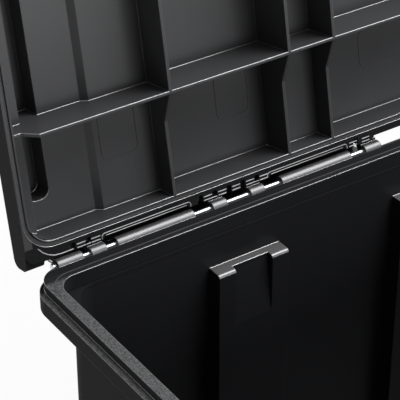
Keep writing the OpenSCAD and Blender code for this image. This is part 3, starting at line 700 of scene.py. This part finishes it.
class TOOLBOX_OT_handle_grips(bpy.types.Operator):
    """Adds the finger rings of the side handles and of the carry handle's soft grip"""
    bl_idname = "toolbox.handle_grips"
    bl_label = "Add the handles' grips"

    # In metres: each ring's radius, length, rounding; then how far apart they are
    SIDE_RING, SIDE_PITCH = (0.0054, 0.004, 0.0006), 0.018
    CARRY_RING, CARRY_PITCH = (0.0064, 0.0045, 0.0006), 0.009

    def execute(self, context):
        for side, sign in SIDES:
            shape = bmesh.new()
            for step in range(-2, 3):
                disc(shape, (sign * SIDE_X, step * self.SIDE_PITCH, SIDE_BAR_Z), (0, 1, 0),
                     *self.SIDE_RING, 32)
            piece("side_handle_rings_" + side, shape, "side_handle_" + side,
                  finish_of("latch_plastic", latch_plastic))
        shape = bmesh.new()
        for step in range(-8, 9):
            disc(shape, (step * self.CARRY_PITCH, CARRY_Y, CARRY_Z - CARRY_BAR_DROP), (1, 0, 0),
                 *self.CARRY_RING, 32)
        piece("carry_grip_rings", shape, "carry_handle", finish_of("grip_rubber", rubber, colours().grip))
        return {"FINISHED"}


class TOOLBOX_OT_pin_heads(bpy.types.Operator):
    """Adds the flat heads on the ends of the pins and strikes"""
    bl_idname = "toolbox.pin_heads"
    bl_label = "Add the pins' heads"

    # In metres: how far each pin's heads are from its middle, then each head's radius,
    # thickness and rounding
    LATCH_END, SIDE_END, STACK_END = 0.0318, 0.0658, 0.0358
    LATCH_HEAD = (0.0029, 0.0014, 0.0005)
    SIDE_HEAD = (0.0030, 0.0014, 0.0005)

    def execute(self, context):
        steel = finish_of("drawn_steel", drawn_steel)
        shape = bmesh.new()
        self.latch_heads(shape, LATCH_Y, LATCH_Z)
        for y in (-1, 1):
            for x, z, end in ((SIDE_X, SIDE_Z, self.SIDE_END), (STACK_X, STACK_Z, self.STACK_END)):
                for _, sign in SIDES:
                    disc(shape, (sign * x, y * end, z), (0, 1, 0), *self.SIDE_HEAD)
        piece("tub_pin_heads", shape, "tub", steel)
        low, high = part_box("latch_strike_right")
        shape = bmesh.new()
        self.latch_heads(shape, (low.y + high.y) / 2, (low.z + high.z) / 2)
        piece("strike_heads", shape, "lid", steel)
        return {"FINISHED"}

    def latch_heads(self, shape, y, z):
        for _, sign in SIDES:
            for end in (-self.LATCH_END, self.LATCH_END):
                disc(shape, (sign * LATCH_X + end, y, z), (1, 0, 0), *self.LATCH_HEAD)


def area_light(name, place, target, size, power):
    lamp = bpy.data.lights.new(name, "AREA")
    lamp.shape = "RECTANGLE"
    lamp.size, lamp.size_y = size
    lamp.energy = power
    holder = bpy.data.objects.new(name, lamp)
    bpy.context.scene.collection.objects.link(holder)
    holder.location = place
    holder.rotation_euler = (Vector(target) - Vector(place)).to_track_quat("-Z", "Y").to_euler()


def background_seen(tree):
    """1 for what the camera, mirrors and glass see directly, and 0 for the light on the object."""
    path = tree.nodes.new("ShaderNodeLightPath")
    seen = path.outputs["Is Camera Ray"]
    for ray in ("Is Glossy Ray", "Is Transmission Ray"):
        either = tree.nodes.new("ShaderNodeMath")
        either.operation = "MAXIMUM"
        tree.links.new(seen, either.inputs[0])
        tree.links.new(path.outputs[ray], either.inputs[1])
        seen = either.outputs[0]
    return seen


class TOOLBOX_OT_set_stage(bpy.types.Operator):
    """Sets up the floor, the background, the lights and the camera"""
    bl_idname = "toolbox.set_stage"
    bl_label = "Set the stage"

    # Each lamp's place, what it points at, its size, in metres, and its power in watts
    LAMPS = {
        "overhead": ((0.75, -0.1, 1.75), (0, 0.19, 0.27), (1.4, 1.4), 40),
        "front": ((0.5, -2.1, 0.55), (0, 0.15, 0.4), (1.2, 0.5), 17),
        "back": ((-1.7, 2.0, 1.0), (0, 0.15, 0.3), (1.4, 0.9), 24),
    }
    # The world as light on the object, and as what is seen behind it
    WORLD_LIGHT, WORLD_SEEN = 0.07, 1.0
    FLOOR_GREY, FLOOR_GLOW, FLOOR_HALF = 0.86, 0.94, 6.0
    # The photograph's camera: its place in metres, its turn and tip in degrees, its lens in millimetres
    CAMERA_PLACE, CAMERA_TURN, CAMERA_TIP = (-0.6357, -0.5041, 0.8221), 34.3, 32.9
    CAMERA_LENS, CAMERA_SENSOR = 153.2, 36.0

    def execute(self, context):
        scene = context.scene
        scene.view_settings.view_transform = "Standard"
        self.world(scene)
        self.floor()
        for name, values in self.LAMPS.items():
            area_light(name, *values)
        self.camera(scene)
        return {"FINISHED"}

    def world(self, scene):
        world = bpy.data.worlds.new("studio")
        scene.world = world
        world.use_nodes = True
        tree = world.node_tree
        back = tree.nodes["Background"]
        level = tree.nodes.new("ShaderNodeMapRange")
        tree.links.new(background_seen(tree), level.inputs["Value"])
        level.inputs["To Min"].default_value = self.WORLD_LIGHT
        level.inputs["To Max"].default_value = self.WORLD_SEEN
        back.inputs["Color"].default_value = (1, 1, 1, 1)
        tree.links.new(level.outputs[0], back.inputs["Strength"])

    def floor(self):
        shape = bmesh.new()
        bmesh.ops.create_grid(shape, x_segments=8, y_segments=8, size=self.FLOOR_HALF)
        mesh = bpy.data.meshes.new("floor")
        shape.to_mesh(mesh)
        shape.free()
        floor = bpy.data.objects.new("floor", mesh)
        bpy.context.scene.collection.objects.link(floor)
        paint = Paint("pale_floor")
        paint.cover(Value(paint, background_seen(paint.tree)) * self.FLOOR_GLOW,
                    paint.tree.nodes.new("ShaderNodeEmission"))
        mesh.materials.append(paint.finish(Base_Color=(*[self.FLOOR_GREY] * 3, 1.0), Roughness=0.9))

    def camera(self, scene):
        lens = bpy.data.cameras.new("camera")
        lens.sensor_width = self.CAMERA_SENSOR
        lens.lens = self.CAMERA_LENS
        lens.clip_end = 50
        turn, tip = math.radians(self.CAMERA_TURN), math.radians(self.CAMERA_TIP)
        forward = Vector((math.sin(turn) * math.cos(tip), math.cos(turn) * math.cos(tip), -math.sin(tip)))
        holder = bpy.data.objects.new("camera", lens)
        scene.collection.objects.link(holder)
        holder.location = self.CAMERA_PLACE
        holder.rotation_euler = forward.to_track_quat("-Z", "Y").to_euler()
        scene.camera = holder


class TOOLBOX_PT_panel(bpy.types.Panel):
    """Lists the sizes, the colours and the steps"""
    bl_label = "Tool box"
    bl_idname = "TOOLBOX_PT_panel"
    bl_space_type = "VIEW_3D"
    bl_region_type = "UI"
    bl_category = "Tool box"

    def draw(self, context):
        for group in (context.scene.tool_box_sizes, context.scene.tool_box_colours):
            for key in group.__annotations__:
                self.layout.prop(group, key)
        for step in STEPS:
            self.layout.operator(step.bl_idname)


STEPS = (TOOLBOX_OT_finish_mouldings, TOOLBOX_OT_finish_metal_and_rubber, TOOLBOX_OT_lid_pads,
         TOOLBOX_OT_hinge_trim, TOOLBOX_OT_rim_bead, TOOLBOX_OT_latch_grips, TOOLBOX_OT_handle_grips,
         TOOLBOX_OT_pin_heads, TOOLBOX_OT_set_stage)
CLASSES = (ToolBoxSizes, ToolBoxColours, *STEPS, TOOLBOX_PT_panel)


def register():
    for each in CLASSES:
        bpy.utils.register_class(each)
    bpy.types.Scene.tool_box_sizes = PointerProperty(type=ToolBoxSizes)
    bpy.types.Scene.tool_box_colours = PointerProperty(type=ToolBoxColours)


def unregister():
    del bpy.types.Scene.tool_box_colours
    del bpy.types.Scene.tool_box_sizes
    for each in reversed(CLASSES):
        bpy.utils.unregister_class(each)


def main():
    register()
    for step in STEPS:
        area, name = step.bl_idname.split(".")
        getattr(getattr(bpy.ops, area), name)()


if __name__ == "__main__":
    main()
